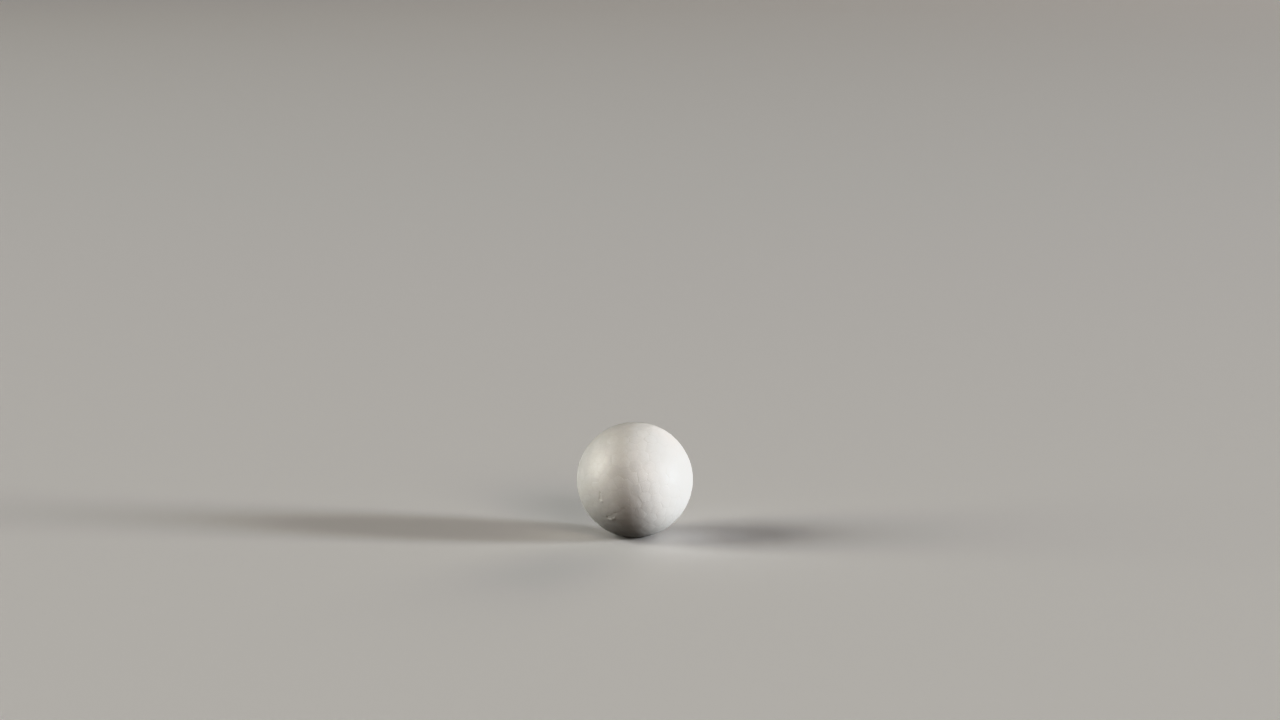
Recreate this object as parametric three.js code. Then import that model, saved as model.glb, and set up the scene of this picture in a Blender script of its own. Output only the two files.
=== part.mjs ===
// Polystyrene ball: foam beads that steam has swelled and fused into one solid piece in a round mould.
// Millimetres, +Z up, origin at the ball's centre. The two halves of the mould part in the plane Y = 0.

import * as THREE from "three";
import { ConvexHull } from "three/addons/math/ConvexHull.js";
import { mergeVertices } from "three/addons/utils/BufferGeometryUtils.js";

// Driving dimensions
const BALL_DIAMETER = 20;
const BEAD_PITCH = 2; // mean distance from the middle of one bead to the middle of the next
const BEAD_STRAY = 0.7; // most that a bead starts off an even spread, along each axis
const GROOVE_DEPTH = 0.05; // where beads meet
const GROOVE_FLANK = 0.2; // from each corner of a bead towards its middle
const SEAM_HEIGHT = 0.04; // of the fine ridge left where the halves of the mould meet
const SEAM_FLANK = 0.2;
const SEAM_CLEARANCE = 0.2; // least distance from the seam to a corner of a bead

// How the beads are laid out
const LAYOUT_SEED = 20;
const SETTLING_ROUNDS = 2; // each round moves every bead to the middle of its own patch of skin
const GOLDEN_ANGLE = Math.PI * (3 - Math.sqrt(5)); // turn between points of an even spiral

// Most of the way from corner to middle that a flank takes on a small piece of bead cut off by the seam
const FLANK_LIMIT = 0.6;

const BALL_RADIUS = BALL_DIAMETER / 2;

const foam = new THREE.MeshStandardMaterial({
  name: "expanded_polystyrene",
  color: new THREE.Color(0.88, 0.87, 0.845),
  roughness: 0.55,
  metalness: 0,
});

// Directions from the ball's centre to the middles of the beads: an even spiral, shaken.
function scatterBeads() {
  const beadArea = (Math.sqrt(3) / 2) * BEAD_PITCH ** 2;
  const beadCount = Math.round((4 * Math.PI * BALL_RADIUS ** 2) / beadArea);
  THREE.MathUtils.seededRandom(LAYOUT_SEED);
  const stray = () => (2 * THREE.MathUtils.seededRandom() - 1) * BEAD_STRAY;
  return Array.from({ length: beadCount }, (_, index) => {
    const polarAngle = Math.acos(1 - (2 * index + 1) / beadCount);
    const bead = new THREE.Vector3();
    bead.setFromSphericalCoords(BALL_RADIUS, polarAngle, index * GOLDEN_ANGLE);
    bead.add(new THREE.Vector3(stray(), stray(), stray()));
    return bead.normalize();
  });
}

// Each bead's patch of skin, as a ring of corners, anticlockwise from outside. The faces of the beads'
// convex hull each join three neighbouring beads, and point to the corner where those three patches meet.
// Neighbouring patches share their corners.
function findPatches(beads) {
  const hull = new ConvexHull().setFromPoints(beads);
  const patches = new Map();
  for (const face of hull.faces) {
    for (const firstEdge of [face.edge, face.edge.next, face.edge.prev]) {
      const bead = firstEdge.head();
      if (patches.has(bead)) continue;
      const corners = [];
      let edge = firstEdge;
      do {
        corners.unshift(edge.face.normal);
        edge = edge.next.twin;
      } while (edge !== firstEdge);
      patches.set(bead, corners);
    }
  }
  return [...patches.values()];
}

function middleOf(corners) {
  const sum = corners.reduce((total, corner) => total.add(corner), new THREE.Vector3());
  return sum.normalize();
}

// Corners that lie near the parting plane are moved off it, in the same order, so that it leaves no sliver
// of a bead.
function clearSeam(patches) {
  const clearance = SEAM_CLEARANCE / BALL_RADIUS;
  for (const corner of new Set(patches.flat())) {
    const side = corner.y < 0 ? -1 : 1;
    const distance = side * corner.y;
    corner.setY(side * Math.max(distance, clearance + distance / 2)).normalize();
  }
}

// Where the edge between two corners crosses the parting plane: the same point whichever comes first.
function seamCrossing(corner, next) {
  const [upper, lower] = corner.y > 0 ? [corner, next] : [next, corner];
  const crossing = upper.clone().lerp(lower, upper.y / (upper.y - lower.y));
  return crossing.setY(0).normalize();
}

// The part of a patch on one side of the parting plane.
function keepSide(corners, side) {
  return corners.flatMap((corner, index) => {
    const next = corners[(index + 1) % corners.length];
    const kept = corner.y * side > 0 ? [corner] : [];
    return corner.y * next.y < 0 ? [...kept, seamCrossing(corner, next)] : kept;
  });
}

// Patches that straddle the parting plane are cut in two by it.
function cutAtSeam(corners) {
  const sides = [1, -1].filter((side) => corners.some((corner) => corner.y * side > 0));
  return sides.map((side) => keepSide(corners, side));
}

// The triangles of one bead: a face on the mould's sphere, and a flank round it that falls to the bottom
// of the grooves, or rises to the top of the seam.
function beadTriangles(corners) {
  const middle = middleOf(corners);
  const shoulder = [];
  const rim = [];
  for (const corner of corners) {
    const onSeam = corner.y === 0;
    const flank = (onSeam ? SEAM_FLANK : GROOVE_FLANK) / (corner.angleTo(middle) * BALL_RADIUS);
    const inner = corner.clone().lerp(middle, Math.min(flank, FLANK_LIMIT));
    shoulder.push(inner.setLength(BALL_RADIUS));
    rim.push(corner.clone().setLength(onSeam ? BALL_RADIUS + SEAM_HEIGHT : BALL_RADIUS - GROOVE_DEPTH));
  }
  middle.setLength(BALL_RADIUS);
  return corners.flatMap((_, index) => {
    const next = (index + 1) % corners.length;
    return [
      [middle, shoulder[index], shoulder[next]],
      [shoulder[index], rim[index], rim[next]],
      [shoulder[index], rim[next], shoulder[next]],
    ].flat();
  });
}

function buildSkin() {
  let beads = scatterBeads();
  for (let round = 0; round < SETTLING_ROUNDS; round += 1) {
    beads = findPatches(beads).map(middleOf);
  }
  const patches = findPatches(beads);
  clearSeam(patches);
  const triangles = patches.flatMap(cutAtSeam).flatMap(beadTriangles);
  const welded = mergeVertices(new THREE.BufferGeometry().setFromPoints(triangles));
  welded.computeVertexNormals();
  return welded;
}

const ball = new THREE.Mesh(buildSkin(), foam);
ball.name = "ball";

const part = new THREE.Group();
part.name = "polystyrene_ball";
part.add(ball);

export default part;
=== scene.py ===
import math
import random
from collections import namedtuple

import bmesh
import bpy
from mathutils import Euler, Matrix, Vector, kdtree, noise


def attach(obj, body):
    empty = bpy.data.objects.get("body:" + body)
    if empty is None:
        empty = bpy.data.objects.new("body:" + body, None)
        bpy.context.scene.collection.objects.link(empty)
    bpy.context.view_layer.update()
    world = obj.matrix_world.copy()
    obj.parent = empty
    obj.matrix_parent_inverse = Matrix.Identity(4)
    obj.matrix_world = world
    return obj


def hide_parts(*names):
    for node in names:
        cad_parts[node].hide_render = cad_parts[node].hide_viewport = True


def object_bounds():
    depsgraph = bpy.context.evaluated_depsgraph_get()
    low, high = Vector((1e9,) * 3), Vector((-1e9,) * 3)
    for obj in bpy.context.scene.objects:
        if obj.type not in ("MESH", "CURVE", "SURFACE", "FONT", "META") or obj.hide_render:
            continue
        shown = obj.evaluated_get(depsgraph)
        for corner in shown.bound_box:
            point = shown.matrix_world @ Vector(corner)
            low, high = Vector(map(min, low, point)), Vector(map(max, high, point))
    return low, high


bl_info = {
    "name": "Polystyrene Ball",
    "version": (1, 0, 0),
    "blender": (4, 5, 0),
    "location": "3D View > Sidebar > Foam Ball",
    "description": "A moulded foam ball with a skin of fused beads, on a plain studio floor",
    "category": "Object",
}

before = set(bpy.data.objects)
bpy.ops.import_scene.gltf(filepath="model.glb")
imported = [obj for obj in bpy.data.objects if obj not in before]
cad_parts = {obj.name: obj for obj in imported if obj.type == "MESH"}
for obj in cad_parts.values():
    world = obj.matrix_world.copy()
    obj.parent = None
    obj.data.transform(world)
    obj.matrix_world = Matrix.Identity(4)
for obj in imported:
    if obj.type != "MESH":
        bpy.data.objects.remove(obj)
CAD_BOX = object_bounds()
BALL_NODE = "ball"
BALL_BODY = "root"
MM = 0.001

# The photograph's frame, and the ball's outline in it, in pixels
FRAME_WIDTH = 1280
FRAME_HEIGHT = 720
OUTLINE_X = 634.84
OUTLINE_Y = 479.73
OUTLINE_RADIUS = 57.67

# The nearest and the furthest that the camera sees, in metres
NEAR_CLIP = 0.01
FAR_CLIP = 100

# How the mesh is made
MERGE_DISTANCE = 0.03 * MM
EDGE_TOLERANCE = 0.01 * MM  # vertices further than this off the mould's sphere lie on the edge of a bead
BEAD_CUTS = 3  # in every edge of the CAD ball
MARK_REACHES = (2.5, 1.6)  # half widths from a mark's middle within which each round of finer cuts is made

# The sockets of a Mix node for colours, by number, because its other sockets have the same names
MIX_FACTOR = 0
MIX_START = 6
MIX_END = 7
MIX_COLOUR = 2

MIDDLE = 0.5  # of a value that goes from 0 to 1

# A soft light panel that faces the ball from PANEL_DISTANCE away. Its azimuth goes to the right from the
# camera's side. Angles are in degrees, sizes in metres.
LightPanel = namedtuple("LightPanel", "name azimuth elevation width height colour")
PANEL_DISTANCE = 4
PANELS = (
    LightPanel("right", 80, 7, 0.8, 1.6, (0.94, 0.975, 1.0)),
    LightPanel("left", -86, 23, 2.2, 2.8, (1.0, 0.995, 0.94)),
    LightPanel("front", 25, 24, 2.2, 1.4, (1.0, 0.9, 0.83)),
    LightPanel("back", 150, 20, 2.2, 1.3, (1.0, 0.9, 0.83)),
)

# One bead of the skin: the middle of its face, how far it stands out, how it leans and how pale it is
Bead = namedtuple("Bead", "middle lift tilt tone")

# A mark on the skin: its middle, its half width, and its height, which is negative for a pit or dent
Mark = namedtuple("Mark", "place half_width height")

# A mark on the ball's front, by its place to the right of and above the middle of the ball as the camera sees
# it, its half width and its height, all in millimetres
FrontMark = namedtuple("FrontMark", "right up half_width height")
FRONT_MARKS = (
    # A short upright groove, and a raised spot below it
    FrontMark(-5.95, -2.2, 0.2, -0.04),
    FrontMark(-5.97, -2.53, 0.2, -0.045),
    FrontMark(-5.96, -2.86, 0.2, -0.05),
    FrontMark(-5.92, -3.2, 0.22, -0.055),
    FrontMark(-5.6, -3.7, 0.25, 0.05),
    # Two small dents
    FrontMark(-4.55, -5.8, 0.2, -0.02),
    FrontMark(-3.4, -5.75, 0.2, -0.03),
    # A pit, and two flakes on a low rise
    FrontMark(-4.62, -6.42, 0.25, -0.08),
    FrontMark(-4.04, -6.78, 0.27, 0.085),
    FrontMark(-3.48, -6.58, 0.23, 0.065),
    FrontMark(-3.55, -6.95, 0.55, 0.03),
    # A shallow upright trough near the middle
    FrontMark(0.15, -1.7, 0.5, -0.008),
    FrontMark(0.15, -2.35, 0.5, -0.008),
    FrontMark(0.15, -3.0, 0.5, -0.008),
    # Low dents and rises below the middle
    FrontMark(-1.85, -4.95, 0.25, -0.03),
    FrontMark(-0.75, -4.65, 0.3, 0.02),
    FrontMark(0.55, -4.6, 0.4, 0.01),
    FrontMark(0.4, -5.6, 0.35, -0.01),
    FrontMark(-1.6, -6.2, 0.4, -0.012),
)


class BeadSettings(bpy.types.PropertyGroup):
    """Shape of the skin"""

    crease_depth: bpy.props.FloatProperty(
        name="Crease depth",
        description="Most that the skin dips where two beads meet",
        default=0.006 * MM,
        unit="LENGTH",
    )
    crease_share: bpy.props.FloatProperty(
        name="Crease share",
        description="Part of the way from a bead's edge to its middle that the crease takes",
        default=0.2,
        subtype="FACTOR",
    )
    crease_least: bpy.props.FloatProperty(
        name="Least crease",
        description="Part of the crease that is left where beads are fused best",
        default=0.25,
        subtype="FACTOR",
    )
    crease_length: bpy.props.FloatProperty(
        name="Crease length",
        description="Distance over which the creases come and go",
        default=2 * MM,
        unit="LENGTH",
    )
    # Painted shade in the creases: how far the deepest creases are darkened towards the hollows' shade colour
    crease_shade: bpy.props.FloatProperty(
        name="Crease tint",
        description="How much of the hollows' colour the deepest creases take",
        default=0.35,
        subtype="FACTOR",
    )
    edge_bend: bpy.props.FloatProperty(
        name="Edge bend",
        description="Most that a bead's edge strays from straight",
        default=0.12 * MM,
        unit="LENGTH",
    )
    bend_length: bpy.props.FloatProperty(
        name="Bend length",
        description="Distance over which a bead's edge bends to and fro",
        default=1.2 * MM,
        unit="LENGTH",
    )
    dome_height: bpy.props.FloatProperty(
        name="Dome height",
        description="How far a bead's middle stands above its edge",
        default=0.012 * MM,
        unit="LENGTH",
    )
    bead_lift: bpy.props.FloatProperty(
        name="Bead lift",
        description="Most that one bead stands above or below the next",
        default=0.003 * MM,
        unit="LENGTH",
    )
    bead_tilt: bpy.props.FloatProperty(
        name="Bead tilt",
        description="Most that a bead's face leans from the round",
        default=math.radians(0.5),
        subtype="ANGLE",
    )
    wave_height: bpy.props.FloatProperty(
        name="Wave height",
        description="Slow unevenness of the whole skin",
        default=0.02 * MM,
        unit="LENGTH",
    )
    wave_length: bpy.props.FloatProperty(
        name="Wave length",
        description="Distance over which the slow unevenness rises and falls",
        default=5 * MM,
        unit="LENGTH",
    )
    pit_share: bpy.props.FloatProperty(
        name="Pit share",
        description="Part of the places where three beads meet that are open pits",
        default=0.15,
        subtype="FACTOR",
    )
    pit_half_width: bpy.props.FloatProperty(
        name="Pit half width",
        description="Half width of the largest pits between beads",
        default=0.15 * MM,
        unit="LENGTH",
    )
    pit_depth: bpy.props.FloatProperty(
        name="Pit depth",
        description="Depth of the largest pits between beads",
        default=0.05 * MM,
        unit="LENGTH",
    )
    pit_least: bpy.props.FloatProperty(
        name="Least pit",
        description="Size of the smallest pits, as a part of the largest",
        default=0.4,
        subtype="FACTOR",
    )
    # Painted shade in the pits: how far the deepest pits are darkened towards the hollows' shade colour
    pit_shade: bpy.props.FloatProperty(
        name="Pit tint",
        description="How much of the hollows' colour the deepest pits take",
        default=0.8,
        subtype="FACTOR",
    )
    front_share: bpy.props.FloatProperty(
        name="Front share",
        description="Part of the radius, towards the camera, past which all pits are of the smallest size",
        default=0.3,
        subtype="FACTOR",
    )
    mark_rag: bpy.props.FloatProperty(
        name="Ragged marks",
        description="How far the outline of a pit, dent or flake strays from round",
        default=0.5,
        subtype="FACTOR",
    )
    mark_steepness: bpy.props.FloatProperty(
        name="Steepness of marks",
        description="Power that sets how steep the sides of a pit, dent or flake are",
        default=3.0,
    )
    seam_height: bpy.props.FloatProperty(
        name="Seam height",
        description="Height of the fine ridge where the halves of the mould met",
        default=0.03 * MM,
        unit="LENGTH",
    )
    seam_half_width: bpy.props.FloatProperty(
        name="Seam half width",
        description="Half width of that ridge",
        default=0.09 * MM,
        unit="LENGTH",
    )
    seed: bpy.props.IntProperty(
        name="Seed",
        description="Number that the chance differences between beads start from",
        default=4,
        min=1,
    )


class FoamSettings(bpy.types.PropertyGroup):
    """Finish of the foam"""

    white: bpy.props.FloatVectorProperty(
        name="White",
        description="Colour of the foam",
        default=(0.835, 0.828, 0.812),
        subtype="COLOR",
    )
    # Painted shade: a darker colour that stands in for the shade in creases and pits
    hollow_shade_colour: bpy.props.FloatVectorProperty(
        name="Hollows",
        description="Colour of the foam in creases and pits",
        default=(0.77, 0.757, 0.733),
        subtype="COLOR",
    )
    pale_bead: bpy.props.FloatVectorProperty(
        name="Pale beads",
        description="Colour of the palest beads",
        default=(0.89, 0.883, 0.868),
        subtype="COLOR",
    )
    roughness: bpy.props.FloatProperty(
        name="Roughness",
        description="Roughness of the moulded skin",
        default=0.44,
        subtype="FACTOR",
    )
    hollow_roughness: bpy.props.FloatProperty(
        name="Rougher hollows",
        description="How much rougher the skin is in creases and pits",
        default=0.2,
        subtype="FACTOR",
    )
    bead_roughness: bpy.props.FloatProperty(
        name="Rougher beads",
        description="How much rougher the palest beads are than the plainest",
        default=0.12,
        subtype="FACTOR",
    )
    grain_roughness: bpy.props.FloatProperty(
        name="Rougher grain",
        description="How much rougher the skin is at the top of its grain than at the bottom",
        default=0.25,
        subtype="FACTOR",
    )
    refraction: bpy.props.FloatProperty(
        name="Refraction",
        description="Refractive index of the skin, which sets how much it shines",
        default=1.5,
    )
    bead_share: bpy.props.FloatProperty(
        name="Bead share",
        description="Part of the paleness that a bead has all over. The rest differs from cell to cell",
        default=0.5,
        subtype="FACTOR",
    )
    cell_size: bpy.props.FloatProperty(
        name="Cell size",
        description="Width of the fine foam cells inside a bead",
        default=0.16 * MM,
        unit="LENGTH",
    )
    cell_height: bpy.props.FloatProperty(
        name="Cell height",
        description="Relief of the fine foam cells",
        default=0.007 * MM,
        unit="LENGTH",
    )
    grain_size: bpy.props.FloatProperty(
        name="Grain size",
        description="Width of the coarsest grain of the skin",
        default=0.4 * MM,
        unit="LENGTH",
    )
    grain_layers: bpy.props.FloatProperty(
        name="Grain layers",
        description="How many times finer grain is laid over the coarsest",
        default=3.0,
    )
    grain_fade: bpy.props.FloatProperty(
        name="Grain fade",
        description="Strength of each finer layer of grain, as a part of the one before",
        default=0.6,
        subtype="FACTOR",
    )
    glow_share: bpy.props.FloatProperty(
        name="Glow share",
        description="Part of the light that spreads under the skin",
        default=0.15,
        subtype="FACTOR",
    )
    glow_depth: bpy.props.FloatProperty(
        name="Glow depth",
        description="How deep light spreads under the skin",
        default=0.5 * MM,
        unit="LENGTH",
    )
    glow_reach: bpy.props.FloatVectorProperty(
        name="Glow reach",
        description="How far red, green and blue light spread, as parts of the glow depth",
        default=(1.0, 0.95, 0.9),
    )


class StageSettings(bpy.types.PropertyGroup):
    """Floor, light and camera"""

    floor_colour: bpy.props.FloatVectorProperty(
        name="Floor",
        description="Colour of the floor",
        default=(0.77, 0.77, 0.77),
        subtype="COLOR",
    )
    floor_half_width: bpy.props.FloatProperty(
        name="Floor half width",
        description="Distance from the ball to the floor's edges",
        default=20.0,
        unit="LENGTH",
    )
    room_light: bpy.props.FloatVectorProperty(
        name="Room light",
        description="Colour and strength of the weak even light from all round",
        default=(0.035, 0.03, 0.025),
        subtype="COLOR",
    )
    backdrop_colour: bpy.props.FloatVectorProperty(
        name="Backdrop",
        description="Colour that the camera sees past the floor's edges",
        default=(0.56, 0.55, 0.53),
        subtype="COLOR",
    )
    right_power: bpy.props.FloatProperty(
        name="Right panel",
        description="Power of the strong panel low on the right",
        default=265.0,
        unit="POWER",
    )
    left_power: bpy.props.FloatProperty(
        name="Left panel",
        description="Power of the broad panel on the left",
        default=145.0,
        unit="POWER",
    )
    front_power: bpy.props.FloatProperty(
        name="Front panel",
        description="Power of the weak panel above the camera, to its right",
        default=57.0,
        unit="POWER",
    )
    back_power: bpy.props.FloatProperty(
        name="Back panel",
        description="Power of the weak panel behind the ball, to its right",
        default=35.0,
        unit="POWER",
    )
    gamma: bpy.props.FloatProperty(
        name="Gamma",
        description="Gamma of the picture. Below 1 it deepens the shade, as in the photograph",
        default=0.7,
    )
    lens: bpy.props.FloatProperty(
        name="Lens",
        description="Focal length of the camera",
        default=85.0,
        unit="CAMERA",
    )
    elevation: bpy.props.FloatProperty(
        name="Elevation",
        description="How far the camera looks down on the ball",
        default=math.radians(12),
        subtype="ANGLE",
    )


class Socket:
    """A shader node's output. Arithmetic on it adds Math nodes, and node() adds any other node."""

    def __init__(self, tree, output=None):
        self.tree = tree
        self.output = output

    def node(self, kind, settings, inputs, output=0):
        """Adds a node of a kind, sets it up, fills its inputs by name or number, and gives one output."""
        node = self.tree.nodes.new(kind)
        for name, value in settings.items():
            setattr(node, name, value)
        for name, value in inputs.items():
            if isinstance(value, Socket):
                self.tree.links.new(value.output, node.inputs[name])
            else:
                node.inputs[name].default_value = value
        return Socket(self.tree, node.outputs[output])

    def other(self, output):
        """Another output of the node that this value comes from."""
        return Socket(self.tree, self.output.node.outputs[output])

    def math(self, operation, first, second):
        """The result of an operation on two values."""
        return self.node("ShaderNodeMath", {"operation": operation}, {0: first, 1: second})

    def mix(self, start, end):
        """A colour between start and end, by this value."""
        inputs = {MIX_FACTOR: self, MIX_START: start, MIX_END: end}
        return self.node("ShaderNodeMix", {"data_type": "RGBA"}, inputs, output=MIX_COLOUR)

    def __add__(self, other):
        return self.math("ADD", self, other)

    def __sub__(self, other):
        return self.math("SUBTRACT", self, other)

    def __rsub__(self, other):
        return self.math("SUBTRACT", other, self)

    def __mul__(self, other):
        return self.math("MULTIPLY", self, other)

    __radd__ = __add__
    __rmul__ = __mul__


def opaque(colour):
    """A colour with a full alpha."""
    return (*colour, 1.0)


def mould_radius():
    """Radius of the mould, which most of the CAD ball's vertices lie on."""
    distances = sorted(vertex.co.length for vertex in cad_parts[BALL_NODE].data.vertices)
    return distances[len(distances) // 2]


def neighbours(vertex):
    """The vertices at the other ends of a vertex's edges."""
    return [edge.other_vert(vertex) for edge in vertex.link_edges]


def front_axes(elevation):
    """Unit vectors to the right, up and towards the camera, as it sees the ball."""
    right = Vector((1, 0, 0))
    towards = Vector((0, -math.cos(elevation), math.sin(elevation)))
    return right, towards.cross(right), towards


def front_marks(radius, elevation):
    """The marks on the ball's front, set on its skin."""
    right, up, towards = front_axes(elevation)
    marks = []
    for mark in FRONT_MARKS:
        across = right * mark.right * MM + up * mark.up * MM
        depth = math.sqrt(radius**2 - across.length_squared)
        marks.append(Mark(across + towards * depth, mark.half_width * MM, mark.height * MM))
    return marks


def find_beads(skin, radius):
    """Notes on each vertex how far it lies from its bead's edge, 0, to the bead's middle, 1, and on each face
    which bead it is part of. Gives the beads' middles, and the corners off the seam where beads meet."""
    inset = skin.verts.layers.float.new("inset")
    bead_number = skin.faces.layers.int.new("bead")
    edge = {vertex for vertex in skin.verts if abs(vertex.co.length - radius) > EDGE_TOLERANCE}
    middles = []
    for vertex in skin.verts:
        if vertex in edge or edge.intersection(neighbours(vertex)):
            continue
        vertex[inset] = 1.0
        for shoulder in neighbours(vertex):
            corners = [found for found in neighbours(shoulder) if found in edge]
            corner = min(corners, key=lambda found: (found.co - shoulder.co).length)
            shoulder[inset] = (shoulder.co - corner.co).length / (vertex.co - corner.co).length
            for face in shoulder.link_faces:
                face[bead_number] = len(middles)
        middles.append(vertex.co.copy())
    corners = [vertex.co.copy() for vertex in skin.verts if vertex.co.length < radius - EDGE_TOLERANCE]
    return middles, corners


def vary_beads(middles, settings):
    """The beads, each with its own small differences."""
    chance = random.Random(settings.seed)
    beads = []
    for middle in middles:
        lift = chance.uniform(-1, 1) * settings.bead_lift
        tilt = Vector(chance.uniform(-1, 1) * settings.bead_tilt for _ in range(3))
        beads.append(Bead(middle, lift, tilt, chance.random()))
    return beads


def find_pits(corners, radius, towards, settings):
    """Open pits at some of the corners where beads meet, the smallest ones on the front."""
    chance = random.Random(settings.seed)
    pits = []
    for corner in corners:
        size = chance.uniform(settings.pit_least, 1)
        if chance.random() > settings.pit_share:
            continue
        if corner.dot(towards) > settings.front_share * radius:
            size = settings.pit_least
        place = corner.normalized() * radius
        pits.append(Mark(place, settings.pit_half_width * size, -settings.pit_depth * size))
    return pits


def tree_of(points):
    """A search tree that finds points by their place and gives their numbers."""
    tree = kdtree.KDTree(len(points))
    for number, point in enumerate(points):
        tree.insert(point, number)
    tree.balance()
    return tree


def refine_marks(skin, marks):
    """Cuts the faces round each pit and mark finer, and finer still near its middle."""
    places = tree_of([mark.place for mark in marks])
    for reach in MARK_REACHES:
        near = set()
        for face in skin.faces:
            _, number, distance = places.find(face.calc_center_median())
            if distance < reach * marks[number].half_width:
                near.update(face.edges)
        edges = [edge for edge in skin.edges if edge in near]
        bmesh.ops.subdivide_edges(skin, edges=edges, cuts=1, use_grid_fill=True)
        bmesh.ops.triangulate(skin, faces=[face for face in skin.faces if len(face.verts) > 3])


def mark_rise(place, mark, settings):
    """The part of a mark's height that the skin takes at a place. The mark's outline is ragged."""
    stray = 1 + settings.mark_rag * noise.noise(place / mark.half_width)
    distance = (place - mark.place).length / mark.half_width * stray
    return math.exp(-(distance**settings.mark_steepness))


def bend(place, settings):
    """Where a place on the skin goes when the beads' edges are bent. The seam stays straight."""
    clear = min(1.0, abs(place.y) / settings.bend_length)
    shift = noise.noise_vector(place / settings.bend_length) * settings.edge_bend * clear
    return (place + shift).normalized() * place.length


def crease_strength(place, settings):
    """How deep the creases are near a place, from the least share to 1."""
    level = MIDDLE + noise.noise(place / settings.crease_length)
    return settings.crease_least + (1 - settings.crease_least) * min(max(level, 0.0), 1.0)


def shape_skin(skin, radius, beads, marks, settings):
    """Sets every vertex to its place on the finished skin, and notes how pale it is and how much painted
    shade it takes.
    """
    inset = skin.verts.layers.float["inset"]
    tone = skin.verts.layers.float.new("tone")
    hollow = skin.verts.layers.float.new("hollow")
    bead_number = skin.faces.layers.int["bead"]
    mark_tree = tree_of([mark.place for mark in marks])
    reach = max(MARK_REACHES) * max(mark.half_width for mark in marks)
    for vertex in skin.verts:
        bead = beads[vertex.link_faces[0][bead_number]]
        place = bend(vertex.co.normalized() * radius, settings)
        share = vertex[inset]
        seam = math.exp(-((place.y / settings.seam_half_width) ** 2))
        crease = max(0.0, 1 - share / settings.crease_share) ** 2 * (1 - seam)
        strength = crease_strength(place, settings)
        height = settings.dome_height * (1 - (1 - share) ** 2)
        height -= settings.crease_depth * crease * strength
        height += (bead.lift + bead.tilt.dot(place - bead.middle)) * (1 - crease)
        height += settings.wave_height * noise.noise(place / settings.wave_length)
        height += settings.seam_height * seam
        near = [marks[number] for _, number, _ in mark_tree.find_range(place, reach)]
        rises = [0.0] + [mark.height * mark_rise(place, mark, settings) for mark in near]
        vertex.co = place.normalized() * (radius + height + sum(rises))
        flake = min(1.0, max(rises) / settings.pit_depth)
        pit = min(1.0, -min(rises) / settings.pit_depth)
        vertex[tone] = max(bead.tone, flake)
        # Painted shade: creases and pits take a darker colour by their depth
        vertex[hollow] = max(settings.crease_shade * crease * strength, settings.pit_shade * pit)


def skin_mesh(settings, elevation):
    """The ball's skin, modelled from a merged copy of the CAD ball."""
    noise.seed_set(settings.seed)  # without it, noise vectors differ from run to run
    radius = mould_radius()
    skin = bmesh.new()
    skin.from_mesh(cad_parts[BALL_NODE].data)
    bmesh.ops.remove_doubles(skin, verts=skin.verts, dist=MERGE_DISTANCE)
    middles, corners = find_beads(skin, radius)
    beads = vary_beads(middles, settings)
    _, _, towards = front_axes(elevation)
    marks = find_pits(corners, radius, towards, settings) + front_marks(radius, elevation)
    bmesh.ops.subdivide_edges(skin, edges=skin.edges, cuts=BEAD_CUTS, use_grid_fill=True)
    refine_marks(skin, marks)
    shape_skin(skin, radius, beads, marks, settings)
    mesh = bpy.data.meshes.new("foam_ball")
    skin.to_mesh(mesh)
    skin.free()
    mesh.shade_smooth()
    return mesh


def foam_material(settings):
    """White foam with a smooth moulded skin: beads of slightly different white, painted shade in creases and
    pits, fine cells.
    """
    material = bpy.data.materials.new("foam_skin")
    material.use_nodes = True
    tree = material.node_tree
    shader = tree.nodes["Principled BSDF"]
    shader.inputs["Subsurface Weight"].default_value = settings.glow_share
    shader.inputs["Subsurface Radius"].default_value = settings.glow_reach
    shader.inputs["Subsurface Scale"].default_value = settings.glow_depth
    shader.inputs["IOR"].default_value = settings.refraction

    start = Socket(tree)
    place = start.node("ShaderNodeTexCoord", {}, {}, output="Object")
    tone = start.node("ShaderNodeAttribute", {"attribute_name": "tone"}, {}, output="Fac")
    hollow = start.node("ShaderNodeAttribute", {"attribute_name": "hollow"}, {}, output="Fac")
    cell_inputs = {"Vector": place, "Scale": 1 / settings.cell_size}
    cells = start.node("ShaderNodeTexVoronoi", {}, cell_inputs, output="Distance")
    cell_tone = start.node("ShaderNodeSeparateColor", {}, {"Color": cells.other("Color")}, output="Red")
    grain_inputs = {
        "Vector": place,
        "Scale": 1 / settings.grain_size,
        "Detail": settings.grain_layers,
        "Roughness": settings.grain_fade,
    }
    grain = start.node("ShaderNodeTexNoise", {}, grain_inputs, output="Fac")

    paleness = tone * settings.bead_share + cell_tone * (1 - settings.bead_share)
    bead_white = paleness.mix(opaque(settings.white), opaque(settings.pale_bead))
    # Painted shade: creases and pits are darkened towards the hollows' shade colour
    colour = hollow.mix(bead_white, opaque(settings.hollow_shade_colour))
    grain_change = (grain - MIDDLE) * settings.grain_roughness
    bead_change = (tone - MIDDLE) * settings.bead_roughness
    hollow_change = hollow * settings.hollow_roughness
    roughness = grain_change + bead_change + settings.roughness + hollow_change
    relief_inputs = {"Distance": settings.cell_height, "Height": grain - cells}
    relief = start.node("ShaderNodeBump", {}, relief_inputs)
    tree.links.new(colour.output, shader.inputs["Base Color"])
    tree.links.new(roughness.output, shader.inputs["Roughness"])
    tree.links.new(relief.output, shader.inputs["Normal"])
    return material


def floor_material(settings):
    """A plain matt finish."""
    material = bpy.data.materials.new("pale_floor")
    material.use_nodes = True
    shader = material.node_tree.nodes["Principled BSDF"]
    shader.inputs["Base Color"].default_value = opaque(settings.floor_colour)
    shader.inputs["Roughness"].default_value = 1.0
    shader.inputs["Specular IOR Level"].default_value = 0.0
    return material


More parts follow.
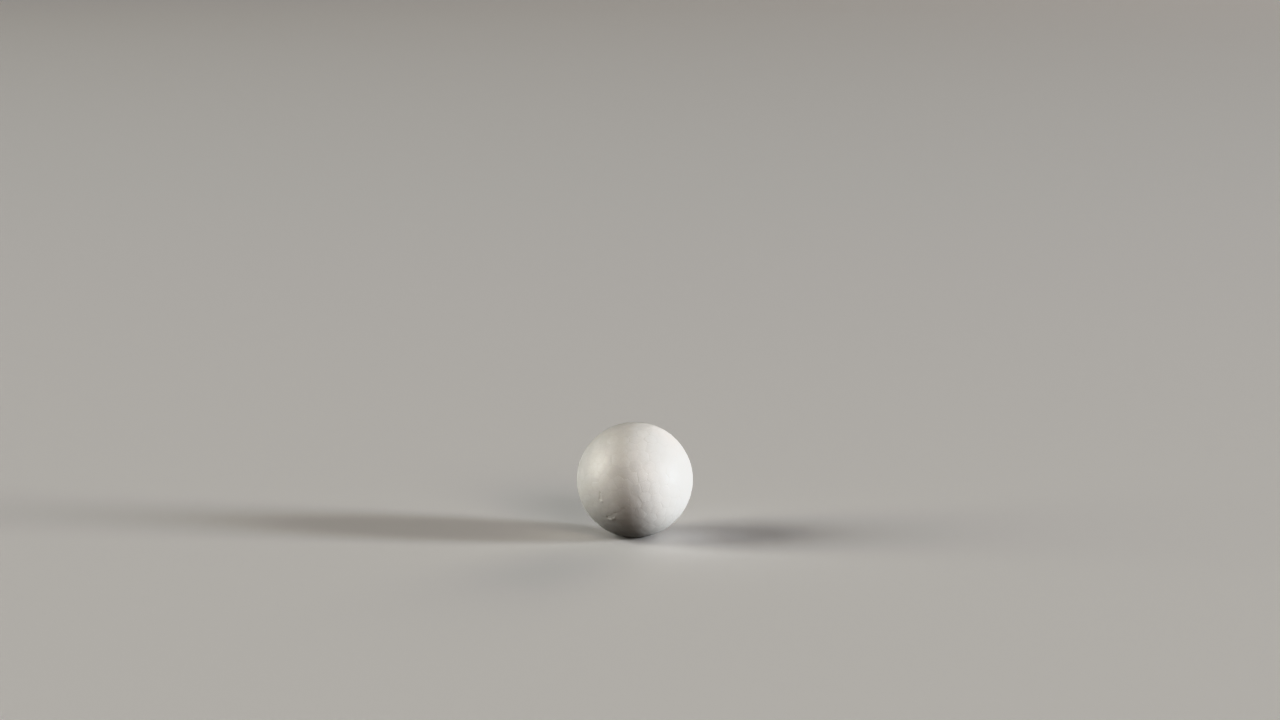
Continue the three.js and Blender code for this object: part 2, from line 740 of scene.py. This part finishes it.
def add_floor(scene, settings, level):
    """A plain floor under the ball. It takes shadows, but throws no light back up at the ball."""
    slab = bmesh.new()
    bmesh.ops.create_grid(slab, x_segments=1, y_segments=1, size=settings.floor_half_width)
    bmesh.ops.translate(slab, verts=slab.verts, vec=(0, 0, level))
    mesh = bpy.data.meshes.new("floor")
    slab.to_mesh(mesh)
    slab.free()
    mesh.materials.append(floor_material(settings))
    floor = bpy.data.objects.new("floor", mesh)
    floor.visible_diffuse = False
    scene.collection.objects.link(floor)


def add_panel(scene, panel, power):
    """A soft light panel that faces the ball."""
    light = bpy.data.lights.new(panel.name, "AREA")
    light.shape = "RECTANGLE"
    light.size = panel.width
    light.size_y = panel.height
    light.energy = power
    light.color = panel.colour
    azimuth = math.radians(panel.azimuth)
    elevation = math.radians(panel.elevation)
    level = Vector((math.sin(azimuth), -math.cos(azimuth), 0)) * math.cos(elevation)
    towards = level + Vector((0, 0, math.sin(elevation)))
    lamp = bpy.data.objects.new(panel.name, light)
    lamp.location = towards * PANEL_DISTANCE
    lamp.rotation_euler = towards.to_track_quat("Z", "Y").to_euler()
    lamp.visible_camera = False
    scene.collection.objects.link(lamp)


def add_room_light(scene, settings):
    """Weak even light from all round, and a pale backdrop that only the camera sees."""
    world = bpy.data.worlds.new("room")
    world.use_nodes = True
    tree = world.node_tree
    seen = Socket(tree).node("ShaderNodeLightPath", {}, {}, output="Is Camera Ray")
    colour = seen.mix(opaque(settings.room_light), opaque(settings.backdrop_colour))
    tree.links.new(colour.output, tree.nodes["Background"].inputs["Color"])
    scene.world = world


def add_camera(scene, settings):
    """A camera that sees the ball at the photograph's place, size and angle."""
    data = bpy.data.cameras.new("camera")
    data.lens = settings.lens
    data.clip_start = NEAR_CLIP
    data.clip_end = FAR_CLIP
    focal_pixels = settings.lens / data.sensor_width * FRAME_WIDTH
    ball_aim = Vector((OUTLINE_X - FRAME_WIDTH / 2, FRAME_HEIGHT / 2 - OUTLINE_Y, -focal_pixels))
    drop = math.atan2(-ball_aim.y, focal_pixels)
    rotation = Euler((math.pi / 2 - settings.elevation + drop, 0, 0))
    distance = mould_radius() * focal_pixels / OUTLINE_RADIUS
    camera = bpy.data.objects.new("camera", data)
    camera.rotation_euler = rotation
    camera.location = rotation.to_matrix() @ ball_aim.normalized() * -distance
    scene.collection.objects.link(camera)
    scene.camera = camera


class FOAMBALL_OT_ball(bpy.types.Operator):
    """Model the ball's skin of fused beads over the CAD ball"""

    bl_idname = "foam_ball.ball"
    bl_label = "Ball"

    def execute(self, context):
        scene = context.scene
        mesh = skin_mesh(scene.foam_beads, scene.foam_stage.elevation)
        mesh.materials.append(foam_material(scene.foam_finish))
        piece = bpy.data.objects.new("foam_ball", mesh)
        scene.collection.objects.link(piece)
        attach(piece, BALL_BODY)
        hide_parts(BALL_NODE)
        return {"FINISHED"}


class FOAMBALL_OT_stage(bpy.types.Operator):
    """Set the floor, the light panels and the camera"""

    bl_idname = "foam_ball.stage"
    bl_label = "Stage"

    def execute(self, context):
        scene = context.scene
        settings = scene.foam_stage
        add_floor(scene, settings, CAD_BOX[0].z)
        for panel in PANELS:
            add_panel(scene, panel, getattr(settings, f"{panel.name}_power"))
        add_room_light(scene, settings)
        scene.view_settings.view_transform = "Khronos PBR Neutral"
        scene.view_settings.gamma = settings.gamma
        add_camera(scene, settings)
        return {"FINISHED"}


class FOAMBALL_PT_panel(bpy.types.Panel):
    """The ball's settings and the steps that make it"""

    bl_idname = "FOAMBALL_PT_panel"
    bl_label = "Foam Ball"
    bl_space_type = "VIEW_3D"
    bl_region_type = "UI"
    bl_category = "Foam Ball"

    def draw(self, context):
        scene = context.scene
        for settings in (scene.foam_beads, scene.foam_finish, scene.foam_stage):
            box = self.layout.box()
            for name in settings.__annotations__:
                box.prop(settings, name)
        self.layout.operator(FOAMBALL_OT_ball.bl_idname)
        self.layout.operator(FOAMBALL_OT_stage.bl_idname)


CLASSES = (
    BeadSettings,
    FoamSettings,
    StageSettings,
    FOAMBALL_OT_ball,
    FOAMBALL_OT_stage,
    FOAMBALL_PT_panel,
)


def register():
    for item in CLASSES:
        bpy.utils.register_class(item)
    bpy.types.Scene.foam_beads = bpy.props.PointerProperty(type=BeadSettings)
    bpy.types.Scene.foam_finish = bpy.props.PointerProperty(type=FoamSettings)
    bpy.types.Scene.foam_stage = bpy.props.PointerProperty(type=StageSettings)


def unregister():
    del bpy.types.Scene.foam_stage
    del bpy.types.Scene.foam_finish
    del bpy.types.Scene.foam_beads
    for item in reversed(CLASSES):
        bpy.utils.unregister_class(item)


def main():
    register()
    bpy.ops.foam_ball.ball()
    bpy.ops.foam_ball.stage()


if __name__ == "__main__":
    main()
